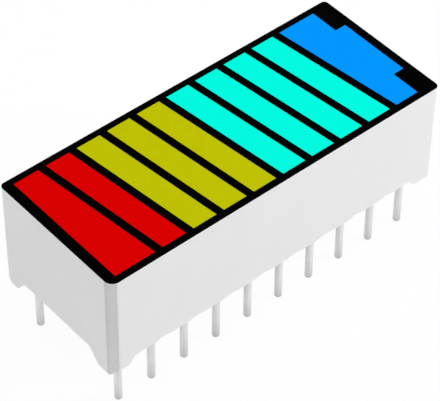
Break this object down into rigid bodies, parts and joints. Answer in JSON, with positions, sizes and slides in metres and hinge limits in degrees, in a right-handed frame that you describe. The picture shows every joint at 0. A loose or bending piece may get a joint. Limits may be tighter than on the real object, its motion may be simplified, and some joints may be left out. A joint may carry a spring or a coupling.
{
  "type": "led battery level display",
  "caption": "Dual in-line level display: white case, black face with slanted red, yellow, green and blue bars, a battery tip on the last bar, corner feet and round leads along both sides.",
  "frame": {"origin": "centre of the lead grid on the seating plane, which is the underside of the feet", "axes": "+X along the rows from the first (empty) bar to the last (full) bar, +Z out of the face, leads pointing down -Z, +Y from the row of leads 1 to 10 to the other row"},
  "size_m": [0.0254, 0.0104, 0.0119],
  "materials": {
    "white_case": "fine satin moulded",
    "black_face": "flat printed",
    "red_resin": "diffused",
    "yellow_resin": "diffused",
    "green_resin": "diffused",
    "blue_resin": "diffused",
    "board": "glass fibre laminate",
    "copper": "plated copper",
    "chip": "sawn crystal",
    "bond_gold": "drawn gold wire",
    "solder": "satin",
    "potting": "cast resin",
    "tinned_lead": "tinned"
  },
  "bodies": {
    "root": {"reflector_case": "white_case", "face_mask": "black_face", "window_red_1": "red_resin", "window_red_2": "red_resin", "window_yellow_1": "yellow_resin", "window_yellow_2": "yellow_resin", "window_yellow_3": "yellow_resin", "window_green_1": "green_resin", "window_green_2": "green_resin", "window_green_3": "green_resin", "window_green_4": "green_resin", "window_blue": "blue_resin", "circuit_board": "board", "anode_tracks": "copper", "cathode_tracks": "copper", "led_die_01": "chip", "led_die_02": "chip", "led_die_03": "chip", "led_die_04": "chip", "led_die_05": "chip", "led_die_06": "chip", "led_die_07": "chip", "led_die_08": "chip", "led_die_09": "chip", "led_die_10": "chip", "bond_wire_01": "bond_gold", "bond_wire_02": "bond_gold", "bond_wire_03": "bond_gold", "bond_wire_04": "bond_gold", "bond_wire_05": "bond_gold", "bond_wire_06": "bond_gold", "bond_wire_07": "bond_gold", "bond_wire_08": "bond_gold", "bond_wire_09": "bond_gold", "bond_wire_10": "bond_gold", "solder_joints": "solder", "back_potting": "potting", "pin_01": "tinned_lead", "pin_02": "tinned_lead", "pin_03": "tinned_lead", "pin_04": "tinned_lead", "pin_05": "tinned_lead", "pin_06": "tinned_lead", "pin_07": "tinned_lead", "pin_08": "tinned_lead", "pin_09": "tinned_lead", "pin_10": "tinned_lead", "pin_11": "tinned_lead", "pin_12": "tinned_lead", "pin_13": "tinned_lead", "pin_14": "tinned_lead", "pin_15": "tinned_lead", "pin_16": "tinned_lead", "pin_17": "tinned_lead", "pin_18": "tinned_lead", "pin_19": "tinned_lead", "pin_20": "tinned_lead"}
  },
  "joints": []
}
